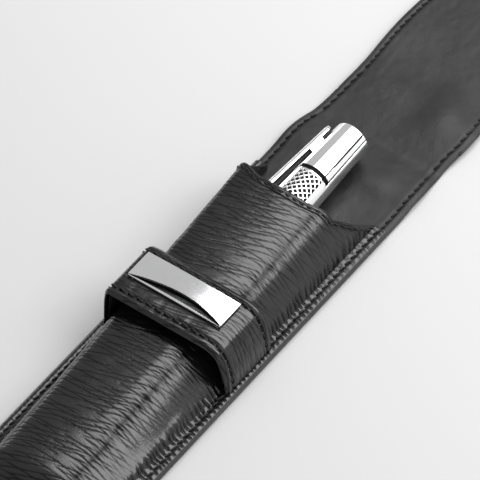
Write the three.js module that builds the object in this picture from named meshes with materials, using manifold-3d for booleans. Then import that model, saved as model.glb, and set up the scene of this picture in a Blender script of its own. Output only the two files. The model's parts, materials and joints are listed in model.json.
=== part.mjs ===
// Single fountain pen case: a soft leather sleeve with a fold-over flap, a keeper band with a metal
// plate, and the pen it carries. Millimetres, +Z up, +Y from the pocket towards the flap.
// The origin lies on the underside, below the middle of the pocket mouth.
import * as THREE from 'three';
import { mergeVertices } from 'three/addons/utils/BufferGeometryUtils.js';
import Module from 'manifold-3d';

const wasm = await Module();
wasm.setup();

// ---- driving dimensions -------------------------------------------------------------------------
const HALF_WIDTH = 22; // of the back strip
const BOTTOM_Y = -138; // closed end of the case
const FOLD_Y = 38; // crease behind the pen's top
const SPINE_LENGTH = 19; // strip between the two creases, as deep as the filled pocket
const FLAP_END_Y = 162;
const FLAP_HALF_WIDTH = 20.5; // next to the crease
const TONGUE_HALF_WIDTH = 17.3; // the end that goes under the band
const TAPER_START_Y = 76;
const TAPER_END_Y = 126;
const CORNER_RADIUS = 5;
const CREASE_GAP = 0.4; // half of the gap left in the stiff layers at a crease

const COVER = 0.9; // outer leather
const BOARD = 0.5; // stiffener
const LINING = 0.7; // smooth lining leather
const STACK = COVER + BOARD + LINING;

const POCKET_LEATHER = 0.9;
const POCKET_LINING = 0.35;
const PLY_GAP = 0.1; // between two curved plies
const FLANGE_TOP = STACK + PLY_GAP + POCKET_LEATHER;
const FOOT_X = 18.9; // where the pocket wall meets its flange
const MOUTH_ADVANCE = 12; // how far the mouth edge runs forward from the top to the flange
const HEM_WIDTH = 3;
const HEM_THICKNESS = 0.45;
const POCKET_END_Y = -134; // the bulge is back down on the flange here
const BULGE_END_Y = -112;
const LINING_END_Y = -119; // the pocket lining stops where the bulge gets shallow

const BAND_Y = [-60, -40];
const BAND_LEATHER = 1.1;
const BAND_LINING = 0.4;
const BAND_HOLLOW = 0.6; // room for the plate's backing strip between leather and lining
const BAND_TOP = 18.5;

const PLATE_X = [-18, 13];
const PLATE_Y = [-53.1, -43.2];
const PLATE_THICKNESS = 1;
const PLATE_STRIP = 0.9; // bar left below the crescent window
const WINDOW_DEPTH = 2.6;
const PRONG_X = [-12, 7];

const SEAM_INSET = 2; // stitch line from the edge
const THREAD_WIDTH = 0.45;
const THREAD_HEIGHT = 0.3;

const PEN_X = -2;
const PEN_Z = 8.7; // axis height at the mouth
const PEN_SLOPE = Math.atan(0.026); // the pen lies on its taper
const PEN_SEGMENTS = 24;
const CLIP_ANGLE = THREE.MathUtils.degToRad(154); // round the pen from +X towards +Z
const CLIP_WIDTH = 2.6;
const CLIP_THICKNESS = 1;
const CLIP_GAP = 1.12; // at the middle of the bridge
const CLIP_Y = [-14, 27];
const CLIP_SLOPE = 0.06; // of the bar towards the pen's top
const CLIP_FOOT_RADIUS = 1.25;
const CLIP_FOOT_Y = -12;
const BRIDGE_Y = [16.9, 22.3];
const PIN_RADIUS = 0.5;
const PIN_REACH = 5; // of the clip's pin from the pen axis
const FIT = 0.3; // clearance round turned and slotted pieces

// ---- materials ----------------------------------------------------------------------------------
const paint = (color, roughness, metalness) =>
  new THREE.MeshStandardMaterial({ color, roughness, metalness });
const grainLeather = paint(0x17181a, 0.35, 0);
const smoothLeather = paint(0x2c2d2f, 0.75, 0);
const boardGrey = paint(0x6d675d, 0.9, 0);
const threadBlack = paint(0x101012, 0.8, 0);
const chrome = paint(0xd9dbdd, 0.12, 1);
const steel = paint(0xa9abae, 0.4, 1);
const gold = paint(0xcaa64f, 0.25, 1);
const blackPlastic = paint(0x111113, 0.35, 0);
const inkBlue = paint(0x1b2c63, 0.3, 0);

// ---- helpers ------------------------------------------------------------------------------------
const root = new THREE.Group();
const pen = new THREE.Group();
pen.position.set(PEN_X, 0, PEN_Z);
pen.rotation.x = PEN_SLOPE;
root.add(pen);

function add(name, geometry, material, parent = root) {
  const mesh = new THREE.Mesh(geometry, material);
  mesh.name = name;
  parent.add(mesh);
  return mesh;
}

// A geometry as a solid that can be cut and joined.
function solid(geometry) {
  const bare = geometry.clone();
  bare.deleteAttribute('normal');
  bare.deleteAttribute('uv');
  const merged = mergeVertices(bare, 1e-4);
  const triVerts = new Uint32Array(merged.index.array);
  const vertProperties = new Float32Array(merged.attributes.position.array);
  return new wasm.Manifold(new wasm.Mesh({ numProp: 3, vertProperties, triVerts }));
}

function geometryOf(manifold) {
  const mesh = manifold.getMesh();
  const geometry = new THREE.BufferGeometry();
  geometry.setAttribute('position', new THREE.BufferAttribute(mesh.vertProperties, 3));
  geometry.setIndex(new THREE.BufferAttribute(mesh.triVerts, 1));
  geometry.computeVertexNormals();
  return geometry;
}

function box(x, y, z) {
  const geometry = new THREE.BoxGeometry(x[1] - x[0], y[1] - y[0], z[1] - z[0]);
  return geometry.translate((x[0] + x[1]) / 2, (y[0] + y[1]) / 2, (z[0] + z[1]) / 2);
}

// A closed sheet of columns × rows cells: place(column, row, outer) gives each corner.
function sheet(columns, rows, place) {
  const geometry = new THREE.BoxGeometry(1, 1, 1, columns, rows, 1);
  const position = geometry.attributes.position;
  for (let index = 0; index < position.count; index += 1) {
    const column = Math.round((position.getX(index) + 0.5) * columns);
    const row = Math.round((position.getY(index) + 0.5) * rows);
    position.setXYZ(index, ...place(column, row, position.getZ(index) > 0));
  }
  geometry.computeVertexNormals();
  return geometry;
}

// A solid of revolution about +Y from a closed loop of [radius, y] points.
function turned(points) {
  const loop = points.map(([radius, y]) => new THREE.Vector2(radius, y));
  const onAxis = points[0][0] === 0 && points.at(-1)[0] === 0;
  if (!onAxis) loop.push(loop[0].clone());
  const area = points.reduce((sum, [radius, y], index) => {
    const [nextRadius, nextY] = points[(index + 1) % points.length];
    return sum + radius * nextY - nextRadius * y;
  }, 0);
  if (area < 0) loop.reverse();
  return new THREE.LatheGeometry(loop, PEN_SEGMENTS);
}

// Cuts the corners of an open polyline once, keeping its ends.
function rounded(points) {
  const result = [points[0]];
  for (let index = 0; index < points.length - 1; index += 1) {
    const [a, b] = [points[index], points[index + 1]];
    result.push([0.75 * a[0] + 0.25 * b[0], 0.75 * a[1] + 0.25 * b[1]]);
    result.push([0.25 * a[0] + 0.75 * b[0], 0.25 * a[1] + 0.75 * b[1]]);
  }
  result.push(points.at(-1));
  return result;
}

// Moves an open left-to-right section outwards by a distance, keeping plies parallel.
function offset(points, distance) {
  return points.map(([x, z], index) => {
    const before = points[Math.max(index - 1, 0)];
    const after = points[Math.min(index + 1, points.length - 1)];
    const incoming = new THREE.Vector2(x - before[0], z - before[1]).normalize();
    const outgoing = new THREE.Vector2(after[0] - x, after[1] - z).normalize();
    const along = incoming.clone().add(outgoing).normalize();
    const reference = incoming.lengthSq() > 0 ? incoming : outgoing;
    const reach = distance / Math.max(along.dot(reference), 0.5);
    return [x - along.y * reach, z + along.x * reach];
  });
}

const mix = THREE.MathUtils.lerp;
const smooth = THREE.MathUtils.smoothstep;

// ---- back strip ---------------------------------------------------------------------------------
function caseOutline(inset) {
  const half = HALF_WIDTH - inset;
  const bottom = BOTTOM_Y + inset;
  const top = FOLD_Y - CREASE_GAP;
  const radius = CORNER_RADIUS - inset;
  const shape = new THREE.Shape();
  shape.moveTo(half, top);
  shape.lineTo(-half, top);
  shape.lineTo(-half, bottom + radius);
  shape.absarc(-half + radius, bottom + radius, radius, Math.PI, 1.5 * Math.PI, false);
  shape.lineTo(half - radius, bottom);
  shape.absarc(half - radius, bottom + radius, radius, 1.5 * Math.PI, 2 * Math.PI, false);
  return shape;
}

function layer(name, shape, bottom, thickness, material) {
  const geometry = new THREE.ExtrudeGeometry(shape, {
    depth: thickness,
    bevelEnabled: false,
    curveSegments: 6,
  });
  add(name, geometry.translate(0, 0, bottom), material);
}

layer('back_cover', caseOutline(0), 0, COVER, grainLeather);
layer('back_board', caseOutline(1), COVER, BOARD, boardGrey);
layer('back_lining', caseOutline(0), COVER + BOARD, LINING, smoothLeather);

// ---- pocket -------------------------------------------------------------------------------------
// Outer sections [x, z] from the left flange to the right one, rounded afterwards.
const MOUTH_SECTION = [
  [-FOOT_X, FLANGE_TOP], [-19, 6.5], [-18.9, 11.5], [-18.1, 15.6], [-14, 16.9],
  [-2, 17], [8.5, 15.9], [12.8, 12.6], [16.2, 7.6], [FOOT_X, FLANGE_TOP],
];
const MIDDLE_SECTION = [
  [-FOOT_X, FLANGE_TOP], [-18.4, 6], [-17.6, 9.4], [-16.2, 12.3], [-12, 13.5],
  [-2, 13.9], [6.6, 14.2], [10.6, 11.6], [14.6, 7.4], [FOOT_X, FLANGE_TOP],
];
const LOWER_SECTION = [
  [-FOOT_X, FLANGE_TOP], [-17.6, 5], [-16.2, 7.3], [-14.2, 9.6], [-10.4, 10.8],
  [-2, 11.3], [6, 10.9], [10.4, 9], [14.6, 6.2], [FOOT_X, FLANGE_TOP],
];
const MIDDLE_Y = -60;
const POCKET_ROWS = [
  -138, -137.3, -135.6, -133, -129, -124, -118, -112, -103, -94, -84, -72, -60,
  -50, -40, -30, -20, -12, -5, 0,
];

function edgeHalfWidth(y) {
  const left = Math.min(Math.max(y - BOTTOM_Y, 0), CORNER_RADIUS) - CORNER_RADIUS;
  return HALF_WIDTH - CORNER_RADIUS + Math.sqrt(CORNER_RADIUS ** 2 - left ** 2);
}

function pocketSection(y) {
  const low = y < MIDDLE_Y;
  const near = low ? LOWER_SECTION : MIDDLE_SECTION;
  const far = low ? MIDDLE_SECTION : MOUTH_SECTION;
  const span = low ? [BULGE_END_Y, MIDDLE_Y] : [MIDDLE_Y, 0];
  const t = THREE.MathUtils.clamp((y - span[0]) / (span[1] - span[0]), 0, 1);
  const fall = smooth(y, POCKET_END_Y, BULGE_END_Y);
  const edge = edgeHalfWidth(y);
  const bulge = near.map(([x, z], index) => {
    const wide = mix(x, far[index][0], t);
    const high = mix(z, far[index][1], t);
    const inside = THREE.MathUtils.clamp(wide, 0.6 - edge, edge - 0.6);
    return [inside, FLANGE_TOP + (high - FLANGE_TOP) * fall];
  });
  return rounded([[-edge, FLANGE_TOP], ...bulge, [edge, FLANGE_TOP]]);
}

// The mouth edge is straight over the top and runs forward down both walls.
function mouthAdvance(column) {
  const [x, z] = pocketSection(0)[column];
  const shoulder = x < 0 ? 14 : 12.5;
  const drop = (shoulder - z) / (shoulder - FLANGE_TOP);
  return MOUTH_ADVANCE * THREE.MathUtils.clamp(drop, 0, 1);
}

const POCKET_COLUMNS = pocketSection(0).length - 1;

function pocketPoint(column, y, distance) {
  const forward = mouthAdvance(column) * smooth(y, -20, 0);
  const [x, z] = offset(pocketSection(Math.min(y + forward, 0)), distance)[column];
  return [x, y + forward, z];
}

function pocketPly(name, rows, outer, inner, material, firstColumn = 0) {
  const columns = POCKET_COLUMNS - 2 * firstColumn;
  const geometry = sheet(columns, rows.length - 1, (column, row, isOuter) =>
    pocketPoint(column + firstColumn, rows[row], isOuter ? outer : inner));
  return add(name, geometry, material);
}

const liningOuter = -POCKET_LEATHER - PLY_GAP;
const liningRows = POCKET_ROWS.filter((y) => y > LINING_END_Y);
pocketPly('pocket_front', POCKET_ROWS, 0, -POCKET_LEATHER, grainLeather);
pocketPly('pocket_lining', liningRows, liningOuter, liningOuter - POCKET_LINING, smoothLeather, 4);
pocketPly('mouth_hem', [-HEM_WIDTH, -HEM_WIDTH / 2, 0], PLY_GAP + HEM_THICKNESS, PLY_GAP, grainLeather, 3);

// ---- keeper band --------------------------------------------------------------------------------
const BAND_SECTION = rounded([
  [-21.4, FLANGE_TOP + PLY_GAP], [-21.3, 8], [-21, 14], [-20.4, 17.6], [-18.6, BAND_TOP],
  [-10, BAND_TOP], [0, BAND_TOP], [8, BAND_TOP], [14.5, BAND_TOP], [18.3, 16.4],
  [20.2, 11], [21, 7], [21.3, FLANGE_TOP + PLY_GAP],
]);

function bandSheet(y, outer, inner, firstColumn = 0) {
  const outerLine = offset(BAND_SECTION, outer);
  const innerLine = offset(BAND_SECTION, inner);
  return sheet(BAND_SECTION.length - 1 - 2 * firstColumn, 1, (column, row, isOuter) => {
    const [x, z] = (isOuter ? outerLine : innerLine)[column + firstColumn];
    return [x, y[row], z];
  });
}

const plateMiddleY = (PLATE_Y[0] + PLATE_Y[1]) / 2;
const backingTop = BAND_TOP - BAND_LEATHER - PLY_GAP;
const backingBottom = BAND_TOP - BAND_LEATHER - BAND_HOLLOW + PLY_GAP;

function prong(x, clearance, bottom) {
  const half = [0.3 + clearance, 1.4 + clearance];
  return solid(box(
    [x - half[0], x + half[0]],
    [plateMiddleY - half[1], plateMiddleY + half[1]],
    [bottom, BAND_TOP + PLATE_THICKNESS / 2],
  ));
}

function pierced(geometry) {
  const slots = PRONG_X.map((x) => prong(x, FIT, BAND_TOP - BAND_LEATHER - BAND_HOLLOW));
  return slots.reduce((part, slot) => part.subtract(slot), solid(geometry));
}

// The plate is a rectangle with a crescent window above a slim bar.
function plateShape() {
  const shape = new THREE.Shape();
  shape.moveTo(PLATE_X[0], PLATE_Y[0]);
  shape.lineTo(PLATE_X[1], PLATE_Y[0]);
  shape.lineTo(PLATE_X[1], PLATE_Y[1]);
  shape.lineTo(PLATE_X[0], PLATE_Y[1]);
  const middle = (PLATE_X[0] + PLATE_X[1]) / 2;
  const low = PLATE_Y[0] + PLATE_STRIP;
  const window = new THREE.Path();
  window.moveTo(PLATE_X[0] + 1.2, low);
  window.quadraticCurveTo(middle, low + 2 * WINDOW_DEPTH, PLATE_X[1] - 1.2, low);
  shape.holes.push(window);
  return shape;
}

const bandLeather = bandSheet(BAND_Y, 0, -BAND_LEATHER);
const bandLiningOuter = -BAND_LEATHER - BAND_HOLLOW;
add('band_leather', geometryOf(pierced(bandLeather)), grainLeather);
const bandLiningY = [BAND_Y[0] + 0.4, BAND_Y[1] - 0.4];
const bandLining = bandSheet(bandLiningY, bandLiningOuter, bandLiningOuter - BAND_LINING, 1);
add('band_lining', bandLining, smoothLeather);

const plateBody = new THREE.ExtrudeGeometry(plateShape(), {
  depth: PLATE_THICKNESS,
  bevelEnabled: false,
  curveSegments: 12,
}).translate(0, 0, BAND_TOP);
const plate = PRONG_X.reduce((part, x) => part.add(prong(x, 0, backingBottom)), solid(plateBody));
add('band_plate', geometryOf(plate), chrome);
const backingX = [PLATE_X[0] + 3, PLATE_X[1] - 3];
const backingY = [plateMiddleY - 2.6, plateMiddleY + 2.6];
const backing = box(backingX, backingY, [backingBottom, backingTop]);
add('plate_backing', geometryOf(pierced(backing)), steel);

// ---- flap ---------------------------------------------------------------------------------------
const spineEnd = FOLD_Y + SPINE_LENGTH;
const spineY = [FOLD_Y + CREASE_GAP, spineEnd - CREASE_GAP];

function stripOutline(half, y) {
  const shape = new THREE.Shape();
  shape.moveTo(-half, y[0]);
  shape.lineTo(half, y[0]);
  shape.lineTo(half, y[1]);
  shape.lineTo(-half, y[1]);
  return shape;
}

// Straight sides, a soft taper to the tongue, and a round end.
function flapOutline(inset, Kind = THREE.Shape) {
  const wide = FLAP_HALF_WIDTH - inset;
  const slim = TONGUE_HALF_WIDTH - inset;
  const start = spineEnd + CREASE_GAP + inset;
  const centre = FLAP_END_Y - TONGUE_HALF_WIDTH;
  const middle = (TAPER_START_Y + TAPER_END_Y) / 2;
  const shape = new Kind();
  shape.moveTo(-wide, start);
  shape.lineTo(wide, start);
  shape.lineTo(wide, TAPER_START_Y);
  shape.bezierCurveTo(wide, middle, slim, middle, slim, TAPER_END_Y);
  shape.absarc(0, centre, slim, 0, Math.PI, false);
  shape.lineTo(-slim, TAPER_END_Y);
  shape.bezierCurveTo(-slim, middle, -wide, middle, -wide, TAPER_START_Y);
  shape.lineTo(-wide, start);
  return shape;
}

layer('spine_cover', stripOutline(FLAP_HALF_WIDTH, spineY), 0, COVER + BOARD, grainLeather);
layer('spine_lining', stripOutline(FLAP_HALF_WIDTH, spineY), COVER + BOARD, LINING, smoothLeather);
layer('flap_cover', flapOutline(0), 0, COVER, grainLeather);
layer('flap_board', flapOutline(1), COVER, BOARD, boardGrey);
layer('flap_lining', flapOutline(0), COVER + BOARD, LINING, smoothLeather);

// ---- threads ------------------------------------------------------------------------------------
const seamX = HALF_WIDTH - SEAM_INSET;
const flapSeamX = FLAP_HALF_WIDTH - SEAM_INSET;
const threadHalf = THREAD_WIDTH / 2;
const caseSeamTop = MOUTH_ADVANCE;

for (const [side, sign] of [['left', -1], ['right', 1]]) {
  const around = (x) => [sign * x - threadHalf, sign * x + threadHalf];
  const seamY = [BOTTOM_Y + CORNER_RADIUS, caseSeamTop - 1];
  const rimY = [caseSeamTop + 1, FOLD_Y - 1];
  const spineSeamY = [spineY[0] + 0.5, spineY[1] - 0.5];
  const beforeBand = [seamY[0], BAND_Y[0] - 0.5];
  const afterBand = [BAND_Y[1] + 0.5, seamY[1]];
  const flange = [FLANGE_TOP, FLANGE_TOP + THREAD_HEIGHT];
  const face = [STACK, STACK + THREAD_HEIGHT];
  add(`seam_thread_lower_${side}`, box(around(seamX + 0.2), beforeBand, flange), threadBlack);
  add(`seam_thread_upper_${side}`, box(around(seamX + 0.2), afterBand, flange), threadBlack);
  add(`rim_thread_${side}`, box(around(seamX), rimY, face), threadBlack);
  add(`spine_thread_${side}`, box(around(flapSeamX), spineSeamY, face), threadBlack);
}

const endSeamY = BOTTOM_Y + SEAM_INSET;
const endSeam = [endSeamY - threadHalf, endSeamY + threadHalf];
add('seam_thread_end', box([-15, 15], endSeam, [FLANGE_TOP, FLANGE_TOP + THREAD_HEIGHT]), threadBlack);

const hemTop = PLY_GAP + HEM_THICKNESS + PLY_GAP;
const hemSeam = [-HEM_WIDTH + 0.6, -HEM_WIDTH + 0.6 + THREAD_WIDTH];
pocketPly('mouth_thread', hemSeam, hemTop + THREAD_HEIGHT, hemTop, threadBlack, 3);

const bandSeams = [['band_thread_front', BAND_Y[0] + 2.4], ['band_thread_back', BAND_Y[1] - 1.8]];
for (const [name, y] of bandSeams) {
  add(name, bandSheet([y, y + THREAD_WIDTH], PLY_GAP + THREAD_HEIGHT, PLY_GAP), threadBlack);
}

// The flap's stitching runs round its border as one ring.
const flapRing = flapOutline(SEAM_INSET - threadHalf);
flapRing.holes.push(flapOutline(SEAM_INSET + threadHalf, THREE.Path));
layer('flap_thread', flapRing, STACK, THREAD_HEIGHT, threadBlack);

// ---- pen ----------------------------------------------------------------------------------------
add('pen_barrel', turned([
  [0, -102.8], [3.1, -102.8], [3.5, -100], [4, -90], [4.6, -70], [5, -50], [5.3, -28.3],
  [4.1, -28.3], [4.1, -76], [3, -92], [0, -96],
]), chrome, pen);
add('barrel_end', turned([[0, -106], [2.2, -106], [2.8, -105], [2.9, -103.1], [0, -103.1]]), chrome, pen);
add('ink_cartridge', turned([
  [0, -74], [3.3, -74], [3.6, -73], [3.6, -38], [2.4, -36], [2.4, -24], [0, -24],
]), inkBlue, pen);
add('pen_section', turned([
  [2.8, -35], [3.8, -35], [3.8, -26.6], [4.3, -26.6], [4, -18], [3.85, -10], [4.1, -8],
  [3.7, -8], [3.7, -14], [2.8, -14],
]), blackPlastic, pen);
add('section_ring', turned([[4.1, -28], [4.9, -28], [4.9, -26.9], [4.1, -26.9]]), chrome, pen);
add('pen_feed', turned([
  [0, -21], [2.5, -21], [2.5, -6], [2.1, 0], [1.1, 6.5], [0, 7.5],
]), blackPlastic, pen);

const NIB_Y = [-13.6, 9.8];
const NIB_THICKNESS = 0.35;
add('pen_nib', sheet(8, 10, (column, row, isOuter) => {
  const t = row / 10;
  const y = mix(NIB_Y[0], NIB_Y[1], t);
  const radius = mix(2.9, 1.3, smooth(t, 0.45, 1)) + (isOuter ? NIB_THICKNESS : 0);
  const halfAngle = mix(1.35, 0.12, smooth(t, 0.4, 1));
  const angle = Math.PI / 2 + halfAngle * (1 - column / 4);
  return [radius * Math.cos(angle), y, radius * Math.sin(angle)];
}), gold, pen);

const capRadius = (y) => (y > 0 ? 6.45 - 0.045 * y : 6.45 + 0.027 * y);
const CAP_LIP_Y = -28;
const CAP_BORE_END_Y = 11.2;
const CAP_SHELL_END_Y = 25.7;
const CAP_BORE = 5.2;

const shellOuter = [CAP_LIP_Y, -14, 0, 10, CAP_SHELL_END_Y].map((y) => [capRadius(y), y]);
const shellBody = turned([
  ...shellOuter, [0, CAP_SHELL_END_Y], [0, CAP_BORE_END_Y],
  [CAP_BORE, CAP_BORE_END_Y], [CAP_BORE, CAP_LIP_Y],
]);

// A patch of the cap's wall between two angles, as deep as its inner and outer allowances.
const PANEL_ANGLES = [50, 122];
const PANEL_Y = [-20, 9.4];
const PANEL_DEPTH = 0.4;

function capPatch(inner, outer, spread) {
  const columns = 12;
  const rows = 4;
  return sheet(columns, rows, (column, row, isOuter) => {
    const y = mix(PANEL_Y[0] - spread, PANEL_Y[1] + spread, row / rows);
    const radius = capRadius(y) + (isOuter ? outer : inner);
    const degrees = mix(PANEL_ANGLES[1] + 6 * spread, PANEL_ANGLES[0] - 6 * spread, column / columns);
    const angle = THREE.MathUtils.degToRad(degrees);
    return [radius * Math.cos(angle), y, radius * Math.sin(angle)];
  });
}

// Clip pieces are drawn on the pen's +X side and turned round it to their angle.
const toClip = (geometry) => geometry.rotateY(-CLIP_ANGLE);
const slotY = [BRIDGE_Y[0] - FIT, BRIDGE_Y[1] + FIT];
const slotBox = () => toClip(box([3.4, 8], slotY, [-1.1 - FIT, 1.1 + FIT]));
const bridgeMiddle = (BRIDGE_Y[0] + BRIDGE_Y[1]) / 2;

function pinAlongWidth(radius, length) {
  const pin = new THREE.CylinderGeometry(radius, radius, length, 16);
  return pin.rotateX(Math.PI / 2).translate(PIN_REACH, bridgeMiddle, 0);
}

const shell = solid(shellBody)
  .subtract(solid(capPatch(-PANEL_DEPTH - 0.12, 1, 0.25)))
  .subtract(solid(slotBox()))
  .subtract(solid(toClip(pinAlongWidth(PIN_RADIUS + 0.2, 5))));
add('cap_shell', geometryOf(shell), chrome, pen);
add('knurled_panel', capPatch(-PANEL_DEPTH, -0.05, 0), chrome, pen);
add('cap_liner', turned([
  [4.65, -26.3], [4.95, -26.3], [4.95, 10.9], [0, 10.9], [0, 10.4], [4.65, 10.4],
]), blackPlastic, pen);
add('cap_top', turned([
  [0, 26], [capRadius(26), 26], [capRadius(29.3), 29.3], [4.6, 30], [0, 30],
]), chrome, pen);

const clipLean = Math.atan(CLIP_SLOPE);
const clipInner = capRadius(bridgeMiddle) + CLIP_GAP;
const clipBar = box([0, CLIP_THICKNESS], CLIP_Y, [-CLIP_WIDTH / 2, CLIP_WIDTH / 2])
  .rotateZ(clipLean)
  .translate(clipInner + bridgeMiddle * CLIP_SLOPE, 0, 0);
const clipFoot = new THREE.SphereGeometry(CLIP_FOOT_RADIUS, 12, 8)
  .translate(capRadius(CLIP_FOOT_Y) + FIT + CLIP_FOOT_RADIUS, CLIP_FOOT_Y, 0);
const clipBridge = box([3.7, clipInner + CLIP_THICKNESS / 2], BRIDGE_Y, [-1.1, 1.1]);
const clip = solid(toClip(clipBar))
  .add(solid(toClip(clipFoot)))
  .add(solid(toClip(clipBridge)))
  .subtract(solid(toClip(pinAlongWidth(PIN_RADIUS + FIT / 2, 4))));
add('clip_bar', geometryOf(clip), chrome, pen);
add('clip_pin', toClip(pinAlongWidth(PIN_RADIUS, 4.4)), steel, pen);

export default root;
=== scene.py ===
"""A slim black leather case for one fountain pen, lying open with its pen, in soft studio light."""
import json
import math

import bpy
import numpy as np
from mathutils import Matrix, Vector


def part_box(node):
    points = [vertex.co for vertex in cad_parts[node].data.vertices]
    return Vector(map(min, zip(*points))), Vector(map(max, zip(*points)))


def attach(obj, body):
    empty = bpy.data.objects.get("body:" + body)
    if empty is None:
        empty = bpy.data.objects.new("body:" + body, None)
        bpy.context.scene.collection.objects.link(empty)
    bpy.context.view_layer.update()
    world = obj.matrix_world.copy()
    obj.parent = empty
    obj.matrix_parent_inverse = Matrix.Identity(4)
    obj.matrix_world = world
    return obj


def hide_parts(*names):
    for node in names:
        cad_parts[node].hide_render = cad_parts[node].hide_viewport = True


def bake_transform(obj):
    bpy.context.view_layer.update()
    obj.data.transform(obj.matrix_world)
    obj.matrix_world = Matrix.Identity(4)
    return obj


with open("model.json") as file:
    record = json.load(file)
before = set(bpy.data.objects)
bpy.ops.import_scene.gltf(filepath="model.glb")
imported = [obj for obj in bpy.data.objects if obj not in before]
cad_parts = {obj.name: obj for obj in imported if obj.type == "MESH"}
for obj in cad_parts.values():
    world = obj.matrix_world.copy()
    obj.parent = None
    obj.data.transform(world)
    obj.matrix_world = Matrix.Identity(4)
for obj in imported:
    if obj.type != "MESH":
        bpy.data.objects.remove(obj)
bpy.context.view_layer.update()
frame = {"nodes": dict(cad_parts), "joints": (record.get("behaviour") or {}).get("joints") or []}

MM = 0.001
FINE = 1.0  # share of the full mesh density
SIDES = (("left", -1), ("right", 1))

# ---- sizes, in millimetres, taken from the frame ----


def box_mm(node):
    """Low and high corner of a node of the frame."""
    low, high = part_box(node)
    return np.array(low) / MM, np.array(high) / MM


back_low, back_high = box_mm("back_cover")
HALF_WIDTH = back_high[0]
BOTTOM_Y = back_low[1]
FOLD_Y = frame["joints"][0]["pos_m"][1] / MM
TURN_Y = frame["joints"][1]["pos_m"][1] / MM
STACK = box_mm("back_lining")[1][2]  # thickness of the whole back strip
COVER = back_high[2]  # thickness of its outer leather
LINING = STACK - box_mm("back_lining")[0][2]  # thickness of the lining
FLAP_END_Y = box_mm("flap_cover")[1][1]
FLAP_HALF = box_mm("flap_cover")[1][0]  # at the crease
TONGUE_HALF = 17.3  # half width of the flap before its round end, and that end's radius
TIP_Y = FLAP_END_Y - TONGUE_HALF  # where the round end begins
band_low, band_high = box_mm("band_leather")
plate_low, plate_high = box_mm("band_plate")
BAND_TOP = band_high[2]

POCKET_LEATHER = 0.9
LAYER_GAP = 0.1  # between two layers of leather
FLANGE_TOP = STACK + LAYER_GAP + POCKET_LEATHER
CORNER_RADIUS = 5.0
MOUTH_ADVANCE = 12.0  # how far the pocket reaches beyond its mouth along the seams
HEM_SHOWN = 2.2  # width of the turned-in edge that can be seen
POCKET_END_Y = -134.0  # where the bulge has come down to the flange
BULGE_END_Y = -112.0  # where the bulge begins to come down
MIDDLE_Y = -60.0
FOOT_X = 18.8  # where the walls of the bulge meet the flange

PEN_AXIS = Vector(frame["joints"][2]["axis"])
PEN_ORIGIN = Vector((-2.0, 0.0, 8.7)) * MM  # the pen's axis at the pocket mouth

# ---- numbers: noise and curves ----


def random_at(ix, iy, seed):
    """A repeatable number from 0 to 1 for each whole-number cell."""
    n = (ix * 374761393 + iy * 668265263 + seed * 974634777) & 0xFFFFFFFF
    n = ((n ^ (n >> 13)) * 1274126177) & 0xFFFFFFFF
    n = ((n ^ (n >> 15)) * 974634777) & 0xFFFFFFFF
    return ((n ^ (n >> 16)) & 0xFFFFFF) / 0xFFFFFF


def soft(x, low=0.0, high=1.0):
    """0 below low, 1 above high, and a smooth step between them."""
    t = np.clip((x - low) / (high - low), 0, 1)
    return t * t * (3 - 2 * t)


def bell(distance, width):
    """1 at no distance, and falling smoothly to 0 on both sides."""
    return np.exp(-(distance / width) ** 2)


def noise(u, v, seed):
    """Smooth value noise from -1 to 1 with one bump per unit."""
    iu, iv = np.floor(u).astype(np.int64), np.floor(v).astype(np.int64)
    fu, fv = soft(u - iu), soft(v - iv)
    low = random_at(iu, iv, seed) * (1 - fu) + random_at(iu + 1, iv, seed) * fu
    high = random_at(iu, iv + 1, seed) * (1 - fu) + random_at(iu + 1, iv + 1, seed) * fu
    return 2 * (low * (1 - fv) + high * fv) - 1


def cell_edges(u, v, seed, jitter):
    """Distance to the nearest cell border, for cells staggered by column."""
    iu, iv = np.floor(u).astype(np.int64), np.floor(v).astype(np.int64)
    first = np.full(u.shape, 9.0)
    second = np.full(u.shape, 9.0)
    for du in (-1, 0, 1):
        for dv in (-2, -1, 0, 1, 2):
            cu, cv = iu + du, iv + dv
            pu = cu + 0.5 + jitter * (random_at(cu, cv, seed) - 0.5)
            pv = cv + 0.25 + 0.5 * (cu % 2) + jitter * (random_at(cu, cv, seed + 1) - 0.5)
            distance = np.hypot(u - pu, (v - pv) * 1.5)
            second = np.minimum(second, np.maximum(first, distance))
            first = np.minimum(first, distance)
    return second - first


LINE_WAVE = 0.35  # how far the lines wander, in millimetres
LINE_JITTER = 0.6  # how unevenly they are spaced, as a share of the pitch


def crease_lines(across, along, seed, pitch, lean):
    """Uneven lines at one lean: distance to the nearest one, and how strong it is there, 0 to 1."""
    v = (along + lean * across + LINE_WAVE * noise(across / 9, along / 7, seed)) / pitch
    nearest = np.full(v.shape, 9.0)
    owner = np.zeros(v.shape)
    base = np.floor(v).astype(np.int64)
    for step in (-1, 0, 1, 2):
        line = base + step
        distance = np.abs(v - line - LINE_JITTER * (random_at(line, line * 0, seed) - 0.5))
        owner = np.where(distance < nearest, line, owner)
        nearest = np.minimum(nearest, distance)
    strength = soft(noise(across / 5.5 + 7.3 * owner, 0.37 * owner, seed + 1), -0.75, -0.05)
    return nearest * pitch, strength


CREASE_HALF = 0.17  # half width of a crease, in millimetres
VALLEY_HALF = 0.4  # half width of the dip round it


def long_grain(across, along, seed=3, pitch=1.75, leans=(-0.3, 0.03)):
    """Embossed long grain: height from -1 to 0, and how deep in one of its creases each point is, 0 to 1,
    which the leather material also paints as shade.

    Two families of fading lines cross at a small angle and leave long pointed cells between them.
    """
    crease_and_shade = np.zeros(across.shape)
    valley = np.zeros(across.shape)
    for k, lean in enumerate(leans):
        distance, strength = crease_lines(across, along, seed + 5 * k, pitch, lean)
        crease_and_shade = np.maximum(crease_and_shade, strength * np.exp(-(distance / CREASE_HALF) ** 1.6))
        valley = np.maximum(valley, strength * np.exp(-distance / VALLEY_HALF))
    return -0.3 * valley - 0.7 * crease_and_shade, crease_and_shade


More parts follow.
